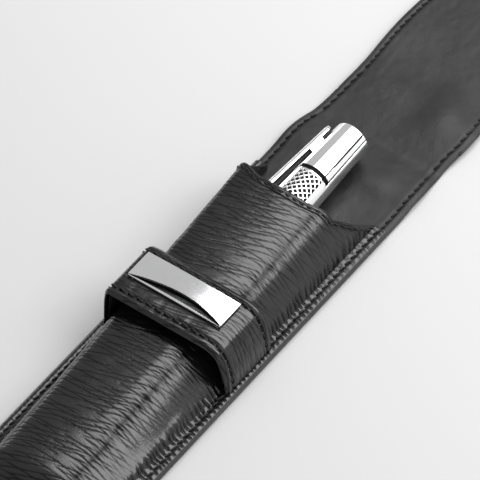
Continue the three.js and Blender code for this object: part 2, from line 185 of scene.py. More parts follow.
def spline_basis(count, samples):
    """Rows of weights that turn control points into a smooth curve through both ends."""
    degree = 2
    inner = np.linspace(0, 1, count - degree + 1)
    knots = np.concatenate([np.zeros(degree), inner, np.ones(degree)])
    t = np.linspace(0, 1, samples)
    weights = ((t[:, None] >= knots[:-1]) & (t[:, None] < knots[1:])).astype(float)
    last = np.nonzero(knots[:-1] < knots[1:])[0][-1]
    weights[-1, last] = 1
    for d in range(1, degree + 1):
        lower = np.zeros_like(weights)
        for k in range(len(knots) - 1 - d):
            left, right = knots[k + d] - knots[k], knots[k + d + 1] - knots[k + 1]
            if left > 0:
                lower[:, k] += (t - knots[k]) / left * weights[:, k]
            if right > 0:
                lower[:, k] += (knots[k + d + 1] - t) / right * weights[:, k + 1]
        weights = lower
    return weights[:, :count]


def lengths_along(points):
    """Distance of each point of a polyline from its start."""
    steps = np.linalg.norm(np.diff(points, axis=0), axis=1)
    return np.concatenate([[0], np.cumsum(steps)])


def sampled(at, places, values):
    """The columns of values, known at some places, read off at others."""
    return np.stack([np.interp(at, places, column) for column in values.T], axis=1)


def even_curve(points, samples):
    """The same open polyline with evenly spaced points."""
    points = np.asarray(points, float)
    length = lengths_along(points)
    return sampled(np.linspace(0, length[-1], samples), length, points)


# ---- numbers: sheets ----


def unit(vectors):
    """The vectors at length 1."""
    return vectors / np.maximum(np.linalg.norm(vectors, axis=-1, keepdims=True), 1e-9)


def normals_of(surface):
    """Unit normals of a rows × columns grid of points, up for a sheet seen from above."""
    return unit(np.cross(np.gradient(surface, axis=1), np.gradient(surface, axis=0)))


def arc_lengths(surface):
    """Distance of each point from the middle of its row, along the row."""
    steps = np.linalg.norm(np.diff(surface, axis=1), axis=2)
    length = np.pad(np.cumsum(steps, axis=1), ((0, 0), (1, 0)))
    return length - length[:, -1:] / 2


SHARP_ANGLE = 1.2  # edges that bend more, in radians, are shaded sharp


def mesh_piece(name, vertices, faces, material, smooth=True):
    """A mesh object from points in millimetres and faces of vertex numbers."""
    mesh = bpy.data.meshes.new(name)
    mesh.from_pydata((np.asarray(vertices) * MM).tolist(), [], [list(map(int, f)) for f in faces])
    mesh.polygons.foreach_set("use_smooth", [smooth] * len(mesh.polygons))
    mesh.materials.append(material)
    mesh.update()
    if smooth:
        mesh.set_sharp_from_angle(angle=SHARP_ANGLE)
    piece = bpy.data.objects.new(name, mesh)
    bpy.context.scene.collection.objects.link(piece)
    return piece


def sheet_piece(name, surface, thickness, material, height=None, crease_and_shade=None, bulge=0.35, square_end=None):
    """A closed sheet: outer face with relief, inner face, and a rounded edge between them.

    square_end may be 0 or -1: that row is cut flat, where another sheet continues it.
    """
    rows, columns = surface.shape[:2]
    total = rows * columns
    index = np.arange(total).reshape(rows, columns)
    border = np.concatenate([index[0], index[1:, -1], index[-1, -2::-1], index[-2:0:-1, 0]])
    normal = normals_of(surface)
    outer = surface if height is None else surface + normal * height[..., None]
    inner = surface - normal * thickness
    middle = (outer + inner).reshape(-1, 3)[border] / 2
    around = np.roll(middle, -1, axis=0) - np.roll(middle, 1, axis=0)
    push = np.full((len(border), 1), bulge * thickness)
    if square_end is not None:
        push[np.isin(border, index[square_end])] = 0
    middle = middle + unit(np.cross(around, normal.reshape(-1, 3)[border])) * push
    vertices = np.concatenate([outer.reshape(-1, 3), inner.reshape(-1, 3), middle])

    a = index[:-1, :-1].ravel()
    top = np.stack([a, a + 1, a + columns + 1, a + columns], axis=1)
    rim = 2 * total + np.arange(len(border))
    rim_after, border_after = np.roll(rim, -1), np.roll(border, -1)
    upper = np.stack([border_after, border, rim, rim_after], axis=1)
    lower = np.stack([rim_after, rim, border + total, border_after + total], axis=1)
    faces = np.concatenate([top, top[:, ::-1] + total, upper, lower])
    piece = mesh_piece(name, vertices, faces, material)
    if material in (grain_leather, smooth_leather):
        piece.data.materials.append(edge_leather)
        is_edge = np.arange(len(faces)) >= 2 * len(top)
        piece.data.polygons.foreach_set("material_index", is_edge.astype(np.int32))
    # The creases' depth goes on as an attribute: the leather material darkens the colour there as painted
    # shade and takes away gloss.
    if crease_and_shade is not None:
        depth = np.concatenate([crease_and_shade.ravel(), np.zeros(total + len(border))])
        layer = piece.data.attributes.new("crease_and_shade", "FLOAT", "POINT")
        layer.data.foreach_set("value", depth.astype(np.float32))
    return piece


# ---- materials ----


class Nodes:
    """A short way to write a material's nodes."""

    def __init__(self, name):
        self.material = bpy.data.materials.new(name)
        self.material.use_nodes = True
        self.tree = self.material.node_tree
        self.shader = self.tree.nodes["Principled BSDF"]

    def add(self, kind, links=None, **settings):
        node = self.tree.nodes.new(kind)
        for key, value in settings.items():
            setattr(node, key, value)
        for socket, value in (links or {}).items():
            self.put(node, socket, value)
        return node

    def put(self, node, socket, value):
        if isinstance(value, bpy.types.NodeSocket):
            self.tree.links.new(value, node.inputs[socket])
        else:
            node.inputs[socket].default_value = value

    def set(self, **values):
        for socket, value in values.items():
            self.put(self.shader, socket.replace("_", " "), value)

    def object_point(self):
        return self.add("ShaderNodeTexCoord").outputs["Object"]

    def stretched(self, point, scale):
        return self.add("ShaderNodeMapping", {"Vector": point, "Scale": scale}).outputs["Vector"]

    def noise(self, point, scale, detail=3.0, roughness=0.6):
        links = {"Vector": point, "Scale": scale, "Detail": detail, "Roughness": roughness}
        return self.add("ShaderNodeTexNoise", links).outputs["Fac"]

    def ramp(self, value, stops):
        node = self.add("ShaderNodeValToRGB", {"Fac": value})
        elements = node.color_ramp.elements
        while len(elements) < len(stops):
            elements.new(0.5)
        for element, (position, colour) in zip(elements, stops):
            element.position = position
            element.color = (*colour, 1)
        return node.outputs["Color"]

    def range(self, value, low, high, out_low, out_high):
        links = {"Value": value, "From Min": low, "From Max": high, "To Min": out_low, "To Max": out_high}
        return self.add("ShaderNodeMapRange", links).outputs["Result"]

    def math(self, operation, a, b):
        return self.add("ShaderNodeMath", {0: a, 1: b}, operation=operation).outputs["Value"]

    def bump(self, height, strength, distance):
        links = {"Height": height, "Strength": strength, "Distance": distance}
        return self.add("ShaderNodeBump", links).outputs["Normal"]


def grey(value):
    """A neutral colour, very slightly cool."""
    return (value, value, value * 1.03)


def leather_material(name, dark, light, roughness, pore_scale, bump, shine=0.5, streak=(1, 1, 1)):
    """Dyed leather: mottled colour, pores, painted shade that darkens the colour in the creases, and a gloss
    that varies and is lost in the creases.
    """
    nodes = Nodes(name)
    point = nodes.object_point()
    stretched = nodes.stretched(point, streak)
    mottling = nodes.noise(point, 90.0, 5.0)
    cells = nodes.add("ShaderNodeTexVoronoi", {"Vector": stretched, "Scale": pore_scale})
    wear = nodes.noise(point, 28.0, 4.0)
    fibres = nodes.noise(stretched, pore_scale * 0.6, 4.0, 0.7)
    crease_and_shade = nodes.add("ShaderNodeAttribute", attribute_name="crease_and_shade").outputs["Fac"]
    # Darker colour in the creases: painted shade.
    shade = nodes.math("SUBTRACT", mottling, nodes.math("MULTIPLY", crease_and_shade, 0.5))
    stops = [(0.1, grey(0.3 * dark)), (0.3, grey(dark)), (0.72, grey(light))]
    nodes.set(Base_Color=nodes.ramp(shade, stops))
    polish = nodes.math("ADD", nodes.math("ADD", wear, fibres), nodes.math("MULTIPLY", crease_and_shade, 0.6))
    nodes.set(Roughness=nodes.range(polish, 0.7, 1.5, roughness[0], roughness[1]))
    nodes.set(Specular_IOR_Level=nodes.range(crease_and_shade, 0.1, 0.9, shine, 0.3 * shine))
    mixed = nodes.math("ADD", nodes.math("MULTIPLY", cells.outputs["Distance"], 0.7), fibres)
    nodes.set(Normal=nodes.bump(mixed, bump, 0.0002))
    return nodes.material


def thread_material():
    """Black thread with its twist."""
    nodes = Nodes("waxed thread")
    point = nodes.object_point()
    twist = {"Vector": point, "Scale": 900.0, "Distortion": 2.0}
    wave = nodes.add("ShaderNodeTexWave", twist, bands_direction="DIAGONAL")
    nodes.set(Base_Color=nodes.ramp(nodes.noise(point, 400.0), [(0.3, grey(0.005)), (0.7, grey(0.018))]))
    nodes.set(Normal=nodes.bump(wave.outputs["Fac"], 0.5, 0.0001))
    nodes.set(Roughness=0.55, Specular_IOR_Level=0.25)
    return nodes.material


def metal_material(name, colour, roughness, scratch_scale=(300, 6, 300), bump=0.02, metallic=1.0):
    """Polished metal with faint lengthwise polishing marks and a little variation in gloss."""
    nodes = Nodes(name)
    point = nodes.object_point()
    stretched = nodes.stretched(point, scratch_scale)
    marks = nodes.noise(stretched, 12.0, 4.0, 0.7)
    haze = nodes.noise(point, 60.0, 3.0)
    darker = tuple(c * 0.93 for c in colour)
    nodes.set(Base_Color=nodes.ramp(haze, [(0.3, darker), (0.7, colour)]))
    gloss = nodes.math("ADD", marks, haze)
    nodes.set(Roughness=nodes.range(gloss, 0.7, 1.4, roughness * 0.7, roughness * 1.5))
    nodes.set(Normal=nodes.bump(marks, bump, 0.00005))
    nodes.set(Metallic=metallic, Specular_IOR_Level=0.5 if metallic else 0.1)
    return nodes.material


def plastic_material(name, colour, roughness):
    """Moulded plastic, almost even."""
    nodes = Nodes(name)
    point = nodes.object_point()
    haze = nodes.noise(point, 120.0, 3.0)
    darker = tuple(c * 0.8 for c in colour)
    nodes.set(Base_Color=nodes.ramp(haze, [(0.35, darker), (0.65, colour)]))
    nodes.set(Roughness=nodes.range(haze, 0.3, 0.7, roughness * 0.8, roughness * 1.3))
    nodes.set(Normal=nodes.bump(nodes.noise(point, 900.0), 0.03, 0.0001))
    return nodes.material


def board_material():
    """Grey fibre board."""
    nodes = Nodes("grey board")
    point = nodes.object_point()
    fibres = nodes.noise(point, 500.0, 5.0, 0.7)
    nodes.set(Base_Color=nodes.ramp(fibres, [(0.3, (0.10, 0.09, 0.075)), (0.7, (0.2, 0.18, 0.15))]))
    nodes.set(Normal=nodes.bump(fibres, 0.3, 0.0002), Roughness=0.9)
    return nodes.material


grain_leather = leather_material(
    "long grain leather", 0.003, 0.007, (0.15, 0.26), 1900.0, 0.1, 0.5, (0.35, 1.4, 1))
smooth_leather = leather_material("smooth lining leather", 0.008, 0.016, (0.34, 0.48), 3400.0, 0.25, 0.24)
edge_leather = leather_material("turned edge leather", 0.006, 0.014, (0.45, 0.6), 2600.0, 0.25, 0.35)
thread = thread_material()
chrome = metal_material("polished chrome", (0.86, 0.86, 0.87), 0.1)
plate_metal = metal_material("polished plate", (0.84, 0.84, 0.85), 0.08, (6, 300, 300), 0.008)
steel = metal_material("brushed steel", (0.5, 0.5, 0.51), 0.35, bump=0.15)
gold = metal_material("gilt nib", (0.78, 0.58, 0.24), 0.14)
# Near-black non-metal used as painted shade: in the cap's grooves and knurl pits, and on the rib under the
# clip.
shade_black = metal_material("painted shade black", (0.004, 0.004, 0.004), 0.5, metallic=0.0)
black_plastic = plastic_material("black plastic", (0.012, 0.012, 0.013), 0.2)
ink = plastic_material("ink cartridge", (0.02, 0.04, 0.2), 0.15)
board = board_material()

# ---- shape of the pocket ----
# Outer sections (x, z) between the two flanges.
MOUTH_SECTION = [
    (-FOOT_X, FLANGE_TOP), (-19, 6.5), (-19, 11.5), (-18.6, 16.2), (-14, 16.7),
    (-1, 17.2), (8.5, 16.1), (12.8, 12.6), (16.6, 7.2), (FOOT_X, FLANGE_TOP)]
MIDDLE_SECTION = [
    (-FOOT_X, FLANGE_TOP), (-18.4, 6), (-17.6, 9.4), (-16.2, 12.3), (-12, 13.5),
    (-2, 13.9), (6.6, 14.2), (10.6, 11.6), (15.2, 6.9), (FOOT_X, FLANGE_TOP)]
LOWER_SECTION = [
    (-FOOT_X, FLANGE_TOP), (-17.6, 5), (-16.2, 7.3), (-14.2, 9.6), (-10.4, 10.8),
    (-2, 11.3), (6, 10.9), (10.4, 9), (15.2, 5.8), (FOOT_X, FLANGE_TOP)]


def edge_half_width(y):
    """Half width of the back strip, which has rounded corners at the closed end."""
    inside = np.clip(y - BOTTOM_Y, 0, CORNER_RADIUS) - CORNER_RADIUS
    return HALF_WIDTH - CORNER_RADIUS + np.sqrt(CORNER_RADIUS ** 2 - inside ** 2)


def pocket_controls(y):
    """Control points, [row, point, (x, z)], of the pocket's outer face at each y."""
    mouth, middle, lower = (np.array(s, float) for s in (MOUTH_SECTION, MIDDLE_SECTION, LOWER_SECTION))
    up = np.clip((y - MIDDLE_Y) / -MIDDLE_Y, 0, 1)[:, None, None]
    down = np.clip((y - BULGE_END_Y) / (MIDDLE_Y - BULGE_END_Y), 0, 1)[:, None, None]
    section = np.where(up > 0, middle + (mouth - middle) * up, lower + (middle - lower) * down)
    fall = soft(y, POCKET_END_Y, BULGE_END_Y)[:, None]
    edge = edge_half_width(y)[:, None]
    x = np.clip(section[..., 0], 0.8 - edge, edge - 0.8)
    z = FLANGE_TOP + (section[..., 1] - FLANGE_TOP) * fall
    flat = np.full((len(edge), 3), FLANGE_TOP)
    left, right = x[:, :1], x[:, -1:]
    flange_left = [-edge, 0.8 * left - 0.2 * edge, left]
    flange_right = [right, 0.8 * right + 0.2 * edge, edge]
    x = np.concatenate(flange_left + [x] + flange_right, axis=1)
    z = np.concatenate([flat, z, flat], axis=1)
    return np.stack([x, z], axis=2)


POCKET_POINTS = len(MOUTH_SECTION) + 6  # with three on each flange
CURVE_SAMPLES = 1201
MOUTH_SAG = 0.12  # how much the mouth edge hangs between top and seam, as a share of the advance
MOUTH_RECESS = 1.9  # how far the mouth edge stands back over the pen
MOUTH_RECESS_X = -3  # the middle of that part


def pocket_surface(y_rows, columns, first=0.0, last=1.0):
    """Grid of points on the pocket's outer face. y_rows are the rows' places over the top."""
    basis = spline_basis(POCKET_POINTS, CURVE_SAMPLES)
    mouth_controls = pocket_controls(np.array([0.0]))[0]
    length = lengths_along(basis @ mouth_controls)
    share = np.linspace(0, 1, CURVE_SAMPLES)
    even = np.interp(np.linspace(first, last, columns), length / length[-1], share)
    chosen = sampled(even, share, basis)
    mouth_x, mouth_z = (chosen @ mouth_controls).T
    shoulder = np.where(mouth_x < 0, 14.0, 12.5)
    drop = np.clip((shoulder - mouth_z) / (shoulder - FLANGE_TOP), 0, 1)
    advance = MOUTH_ADVANCE * drop * (1 - MOUTH_SAG * np.sin(np.pi * drop))
    advance = advance - MOUTH_RECESS * (1 - soft(np.abs(mouth_x - MOUTH_RECESS_X), 7, 15))
    rows = np.asarray(y_rows, float)
    shape = np.einsum("cp,rpk->rck", chosen, pocket_controls(np.minimum(rows, 0)))
    y = rows[:, None] + advance * soft(rows, -20, 0)[:, None]
    return np.stack([shape[..., 0], y, shape[..., 1]], axis=2)


STITCH = 2.6  # pitch of the seam and border stitches
BAND_STITCH = 2.9
HEM_STITCH = 2.4
GRAIN_DEPTH = 0.085
SEAM_X = HALF_WIDTH - 1.9  # the stitch line on the pocket's flanges
PLEAT = 1.75  # spacing of the small gathers along the seam


def rows_between(low, high, step):
    """Evenly spaced places, about one step apart at full density."""
    return np.linspace(low, high, max(int((high - low) / step * FINE), 3))


def rolled_edge(distance, depth, width):
    """How far a leather's face sinks towards its cut edge."""
    return depth * (1 - soft(distance, 0, width)) ** 2


def seam_dent(distance, along, pitch=STITCH, depth=0.16, width=0.55):
    """A stitch line's furrow, deeper at each needle hole."""
    hole = np.cos(2 * np.pi * along / pitch) * 0.5 + 0.5
    return depth * bell(distance, width) + 0.12 * bell(distance, 0.3) * hole ** 6


def mould_line(x, y, across):
    """The edge where the top turns into the right wall: how deep it is dented, and its creases and a dark
    line along it, painted as shade.
    """
    ridge = np.where(y < -50, 8.2, 9.4 - 0.9 * soft(y, -25, -6)) + 0.35 * noise(y / 9, y * 0, 72)
    away = x - ridge
    line, _ = crease_lines(across, y, 79, 1.4, 0.05)
    pinched = bell(away, 2.2) * soft(-y, -1, 4) * bell(line, 0.24)
    valley = 0.3 + 0.15 * noise(y / 14, y * 0, 71)
    valley = valley * (0.7 + 0.5 * noise(y / 1.7, y * 0, 70))
    dent = 0.07 * pinched + valley * bell(away, 1.15) * soft(-y, 1, 9)
    broken = 0.7 + 0.35 * noise(across / 1.4, y / 1.1, 69)
    # A dark line along the edge, painted as shade in the colour.
    fold_shade = bell(away, 0.75) * soft(-y, 1, 6) * broken
    return dent, np.maximum(0.8 * pinched, fold_shade)


def seam_gathers(x, y, across):
    """The small gathers on both sides of the seam: their height, and the dents between them, whose colour is
    painted dark as shade.
    """
    beyond = np.abs(x) - SEAM_X
    gap, _ = crease_lines(across, y + 0.3 * noise(across / 1.5, y / 3, 78), 76, PLEAT, 0.16)
    on_right = soft(x, 0, 5)
    beside = (bell(beyond + 1.7, 1.4) + bell(beyond - 1.1, 0.85)) * (0.3 + 0.7 * on_right)
    pucker = bell(beyond + 2.5, 1.0) * on_right * (0.55 + 0.6 * noise(y / 2.1, y * 0, 83))
    height = 0.34 * pucker * (1 - bell(gap, 0.5)) - 0.22 * beside * bell(gap, 0.4)
    # The second value darkens the dents' colour: painted shade.
    return height, np.minimum(1.3 * beside, 1) * bell(gap, 0.34)


def pocket_relief(surface):
    """Height of the pocket leather's relief, and how deep in one of its creases each point is, 0 to 1, which
    also darkens the colour there as painted shade.
    """
    x, y = surface[..., 0], surface[..., 1]
    across = arc_lengths(surface)
    side = np.abs(x)
    off_seam = soft(SEAM_X - 0.2 - side, 0, 2.5)
    fade = (0.35 + 0.65 * off_seam) * (1 - 0.5 * soft(x, 12.5, 15.5))
    grain, crease_and_shade = long_grain(across, y)
    dent, fold_shade = mould_line(x, y, across)
    gathers, gap_shade = seam_gathers(x, y, across)
    wrinkle = noise(across / 2.2, y / 5.5, 75) * bell(side - 17.4, 1.7) * soft(-y, -6, 10)
    height = GRAIN_DEPTH * grain * fade - dent + gathers + 0.2 * wrinkle
    height += 0.06 * noise(across / 11, y / 17, 73) + 0.02 * noise(across / 4, y / 7, 74)
    height -= seam_dent(side - SEAM_X, y, depth=0.1)
    height -= rolled_edge(edge_half_width(y) - side, 0.3, 0.9)
    return height, np.maximum(np.maximum(crease_and_shade * fade, fold_shade), gap_shade)


# ---- pocket pieces ----


def settle(piece, body, slot, *replaced):
    """Put a piece on its body, in place of the nodes it stands for; the slot is not used."""
    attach(piece, body)
    if replaced:
        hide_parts(*replaced)


def make_pocket():
    """The moulded pocket leather, with closer rows where it can be seen from near."""
    rows = np.concatenate([rows_between(BOTTOM_Y, -129, 0.5), rows_between(-128.7, 0, 0.21)])
    surface = pocket_surface(rows, int(190 * FINE))
    height, crease_and_shade = pocket_relief(surface)
    piece = sheet_piece("pocket_leather", surface, POCKET_LEATHER, grain_leather, height, crease_and_shade)
    settle(piece, "case", "grain_leather", "pocket_front")


def make_pocket_lining():
    """The thin lining inside the pocket."""
    surface = pocket_surface(rows_between(-120, -0.35, 1.5), int(70 * FINE), 0.1, 0.9)
    surface = surface - normals_of(surface) * (POCKET_LEATHER + LAYER_GAP)
    piece = sheet_piece("pocket_inner_lining", surface, 0.35, smooth_leather)
    settle(piece, "case", "smooth_leather", "pocket_lining")


def make_hem():
    """The strip folded over the mouth edge, a little uneven, with its stitch line."""
    rows = rows_between(-HEM_SHOWN, 0.12, 0.14)
    surface = pocket_surface(rows, int(210 * FINE), 0.055, 0.945)
    across = arc_lengths(surface)
    y = rows[:, None] + 0 * across
    top_of_step = 0.9 - HEM_SHOWN + 0.4 * noise(across / 2.3, y * 0, 81)
    rise = 0.16 * soft(y, -HEM_SHOWN - 0.2, top_of_step) + 0.04
    grain, crease_and_shade = long_grain(across, y, 9, 1.2)
    rise += 0.05 * noise(across / 2.1, y / 1.6, 80) + 0.05 * grain
    rise -= 0.3 * soft(y, -0.55, 0.15) ** 2
    rise -= seam_dent(y + 1.3, across, HEM_STITCH, 0.1, 0.35)
    base = surface + normals_of(surface) * 0.05
    piece = sheet_piece("mouth_edge_strip", base, 0.03, grain_leather, rise, crease_and_shade, bulge=1.0)
    settle(piece, "case", "grain_leather", "mouth_hem")


# ---- stitches ----
STITCH_LENGTH = 0.78  # share of the pitch that a stitch covers
STITCH_SLANT = 0.16  # sideways per length
SLANT_SPREAD = 0.08
STITCH_RISE = 0.1  # how far a stitch's middle stands off the leather
STITCH_DIP = 0.34  # how far its ends go down from there


def ring_quads(count, sides):
    """Quads between neighbouring rings of points."""
    r, c = np.meshgrid(np.arange(count - 1), np.arange(sides), indexing="ij")
    a, b = (r * sides + c).ravel(), (r * sides + (c + 1) % sides).ravel()
    return np.stack([a, a + sides, b + sides, b], axis=1).tolist()


def tube_faces(count, sides):
    """Quads round a tube, and one face on each end."""
    last = (count - 1) * sides
    return ring_quads(count, sides) + [list(range(sides)), list(range(last + sides - 1, last - 1, -1))]


def fans(count, sides):
    """Triangles from the first and the last ring of a tube to two middle points after its rings."""
    last = (count - 1) * sides
    middle = count * sides
    faces = []
    for b in range(sides):
        c = (b + 1) % sides
        faces += [[middle, b, c], [middle + 1, last + c, last + b]]
    return faces


def stitch_row(name, node, body, path, normals, pitch=STITCH, radius=0.27):
    """Single stitches along a path: slightly slanted, arched capsules that dip into the leather."""
    distance = lengths_along(path)
    count = max(int(distance[-1] / pitch), 1)
    real_pitch = distance[-1] / count
    rings, sides = 9, 8
    t = np.linspace(-1, 1, rings)
    reach = t * real_pitch * STITCH_LENGTH / 2
    size = radius * np.sqrt(np.clip(1 - 0.9 * t ** 8, 0.05, 1))[:, None, None]
    angle = np.linspace(0, 2 * np.pi, sides, endpoint=False)[None, :, None]
    faces_of_one = tube_faces(rings, sides)
    vertices, faces = [], []
    for k in range(count):
        wobble = random_at(np.int64(k), np.int64(3), 1) - 0.5
        at = (k + 0.5) * real_pitch + reach
        points = sampled(at, distance, path)
        up = unit(sampled(at, distance, normals))
        side = np.cross(unit(np.gradient(points, axis=0)), up)
        points = points + side * (reach * (STITCH_SLANT + SLANT_SPREAD * wobble))[:, None]
        points = points + up * (STITCH_RISE - STITCH_DIP * t ** 4)[:, None]
        ring = side[:, None] * np.cos(angle) + up[:, None] * np.sin(angle)
        vertices.append((points[:, None] + ring * size).reshape(-1, 3))
        faces += [[k * rings * sides + v for v in face] for face in faces_of_one]
    piece = mesh_piece(name, np.concatenate(vertices), faces, thread)
    settle(piece, body, "thread", node)


def upward(path):
    """Normals of a path that lies on a level face."""
    return np.tile((0.0, 0.0, 1.0), (len(path), 1))


def seam_line(sign, low, high):
    """The seam's straight stitch line on one side, between two places along it."""
    return np.linspace((sign * SEAM_X, low, FLANGE_TOP), (sign * SEAM_X, high, FLANGE_TOP), 80)


def make_pocket_stitches():
    """The seam's stitches, broken where the band covers them, and the row along the mouth edge."""
    corner_y = BOTTOM_Y + CORNER_RADIUS
    seam_end = MOUTH_ADVANCE - 0.8
    for side, sign in SIDES:
        runs = [("seam_stitches_lower", "seam_thread_lower", seam_line(sign, corner_y, band_low[1] - 0.4)),
                ("seam_stitches_upper", "seam_thread_upper", seam_line(sign, band_high[1] + 0.4, seam_end)),
                ("rim_stitches", "rim_thread", strip_seam(sign, seam_end + 0.6, FOLD_Y - 1.5))]
        for name, node, path in runs:
            stitch_row(f"{name}_{side}", f"{node}_{side}", "case", path, upward(path))
    radius = CORNER_RADIUS - 2
    turn = [(-SEAM_X, corner_y)]
    for angle in np.linspace(0.2, 1.57, 6):
        turn.append((-SEAM_X + radius - radius * math.cos(angle), corner_y - radius * math.sin(angle)))
    turn += [(-x, y) for x, y in reversed(turn)]
    path = even_curve([(x, max(y, BOTTOM_Y + 2), FLANGE_TOP) for x, y in turn], 90)
    stitch_row("seam_stitches_end", "seam_thread_end", "case", path, upward(path))
    surface = pocket_surface([-1.6, -1.3, -1.0], 400, 0.06, 0.94)
    normal = normals_of(surface)[1]
    path = surface[1] + normal * 0.2
    stitch_row("mouth_stitches", "mouth_thread", "case", path, normal, HEM_STITCH, 0.22)


# ---- keeper band ----
BAND_SECTION = [
    (-21.4, FLANGE_TOP + 0.1), (-21.3, 8), (-21, 14), (-20.4, 17.6), (-18.6, BAND_TOP),
    (-10, BAND_TOP), (0, BAND_TOP), (8, BAND_TOP), (14.5, BAND_TOP), (18.3, 16.4),
    (20.2, 11), (21, 7), (21.3, FLANGE_TOP + 0.1)]
BAND_LEATHER = 1.1


def band_surface(rows, samples, first=0.0, last=1.0):
    """Grid of points on the band's outer face."""
    basis = spline_basis(len(BAND_SECTION), CURVE_SAMPLES)
    curve = even_curve(basis @ np.array(BAND_SECTION, float), CURVE_SAMPLES)
    pick = np.linspace(first, last, samples) * (CURVE_SAMPLES - 1)
    line = sampled(pick, np.arange(CURVE_SAMPLES), curve)
    x, y = np.meshgrid(line[:, 0], rows)
    return np.stack([x, y, line[:, 1] + 0 * y], axis=2)


BAND_STITCH_Y = (band_low[1] + 2.6, band_high[1] - 2.0)


def within(value, low, high):
    """1 between two places, falling to 0 over the next millimetre."""
    return soft(np.minimum(value - low + 1, high + 1 - value))


def make_band():
    """The keeper band: leather, lining and a stitch row along each edge."""
    surface = band_surface(rows_between(band_low[1], band_high[1], 0.22), int(230 * FINE))
    across = arc_lengths(surface)
    x, y = surface[..., 0], surface[..., 1]
    grain, crease_and_shade = long_grain(across, y + 41, 5, 1.5, (-0.2, 0.06))
    height = 0.09 * grain
    height += 0.05 * noise(across / 6, y / 6, 90) + 0.03 * noise(across / 1.6, y / 5, 91)
    height -= rolled_edge(np.minimum(y - band_low[1], band_high[1] - y), 0.45, 0.9)
    for stitch_y in BAND_STITCH_Y:
        height -= seam_dent(y - stitch_y, across, BAND_STITCH, 0.3, 0.6)
    height += 0.12 * bell(y - band_low[1] - 1.2, 0.8)
    under_plate = within(x, plate_low[0], plate_high[0]) * within(y, plate_low[1], plate_high[1])
    height = height * (1 - 0.8 * under_plate) - 0.12 * under_plate
    piece = sheet_piece("keeper_band", surface, BAND_LEATHER, grain_leather, height, crease_and_shade)
    settle(piece, "case", "grain_leather", "band_leather")

    rows = rows_between(band_low[1] + 0.4, band_high[1] - 0.4, 0.8)
    inner = band_surface(rows, int(90 * FINE), 0.05, 0.95)
    inner = inner - normals_of(inner) * (BAND_LEATHER + 0.6)
    piece = sheet_piece("keeper_band_lining", inner, 0.4, smooth_leather)
    settle(piece, "case", "smooth_leather", "band_lining")

    for end, stitch_y in zip(("front", "back"), BAND_STITCH_Y):
        line = band_surface([stitch_y - 0.5, stitch_y, stitch_y + 0.5], 500, 0.03, 0.97)
        stitch_row(f"band_stitches_{end}", f"band_thread_{end}", "case", line[1], normals_of(line)[1],
                   BAND_STITCH, 0.3)


# ---- plate ----


def bevelled(piece, width):
    """Round the edges of a piece, and keep the result as its mesh."""
    modifier = piece.modifiers.new("bevel", "BEVEL")
    modifier.width = width * MM
    modifier.segments = 2
    modifier.limit_method = "ANGLE"
    modifier.angle_limit = 0.6
    bpy.context.view_layer.update()
    graph = bpy.context.evaluated_depsgraph_get()
    plain = piece.data
    mesh = bpy.data.meshes.new_from_object(piece.evaluated_get(graph))
    piece.modifiers.clear()
    piece.data = mesh
    bpy.data.meshes.remove(plain)


def plate_strip(x, low, high, z):
    """Rows of points between two edge curves y = low and y = high over the same x."""
    share = np.linspace(0, 1, 9)[:, None]
    y = low + (high - low) * share
    return np.stack([x + 0 * y, y, z + 0 * y], axis=2)


def make_plate():
    """A bowed plate whose lower edge rises as an arc over a slim straight bar."""
    y_low, y_high = plate_low[1] + 0.3, plate_high[1] - 0.1
    share = np.linspace(0, 1, 90)
    x = np.linspace(plate_low[0], plate_high[0], 90)
    arc = y_low + 0.25 + 2.75 * np.sin(np.pi * share) ** 0.85 * (0.82 + 0.36 * share)
    bar_top = y_low + 0.12 + 0.62 * np.sin(np.pi * np.clip(share * 1.04, 0, 1)) ** 0.7
    crown = 0.34 * np.sin(np.pi * share)
    face = plate_strip(x, arc, y_high, BAND_TOP + 1.0 + crown)
    bar = plate_strip(x, y_low, bar_top, BAND_TOP + 0.75)
    settle(sheet_piece("plate_face", face, 0.8, plate_metal, bulge=0.12), "case", "chrome", "band_plate")
    settle(sheet_piece("plate_bar", bar, 0.6, plate_metal, bulge=0.12), "case", "chrome")


# ---- back strip and flap ----


def strip_half_width(y):
    """Outline of the whole opened strip."""
    y = np.asarray(y, float)
    at_fold = soft(y, FOLD_Y - 11, FOLD_Y + 7)
    half = edge_half_width(np.minimum(y, FOLD_Y)) * (1 - at_fold) + FLAP_HALF * at_fold
    half = half + (TONGUE_HALF - FLAP_HALF) * soft(y, 76, 126) + 0.35 * bell(y - 50, 9)
    past_tip = np.clip(y - TIP_Y, 0, TONGUE_HALF)
    return half - TONGUE_HALF + np.sqrt(np.maximum(TONGUE_HALF ** 2 - past_tip ** 2, 0))


def strip_sway(y):
    """Sideways drift of the opened strip where it turns over the spine."""
    return 1.4 * bell(y - 53.5, 13)


def strip_lift(x, y):
    """How far the opened strip stands off the table: it rises before the first bend and waves after it."""
    before = 0.9 * bell(y - 26, 8)
    after = 1.1 * bell(y - 54, 9) + soft(y, 60, 100) * (0.5 + 0.5 * np.cos((y - 100) / 22))
    side = 0.25 * np.sin(y / 7.5 + 0.09 * x) * soft(np.abs(x), 8, 20) * soft(y, 30, 60)
    dip = 0.5 * bell(y - FOLD_Y, 4)
    fade = 1 - soft(y, FLAP_END_Y - 22, FLAP_END_Y - 4)
    pillow = bell(x - 9.5, 5.5) * (0.7 * bell(y - 20, 8) + 1.1 * bell(y - 57, 10))
    return (before + (after + side) * fade - dip + pillow) * soft(y, 16, 26)


def strip_surface(rows, columns, inset):
    """Flat grid over the opened strip, with columns closer together at both edges."""
    half = np.maximum(strip_half_width(rows) - inset, 0.6)
    share = np.linspace(-1, 1, columns)
    share = np.sign(share) * (1 - (1 - np.abs(share)) ** 1.25)
    x = half[:, None] * share
    return np.stack([x, rows[:, None] + 0 * x, 0 * x], axis=2)


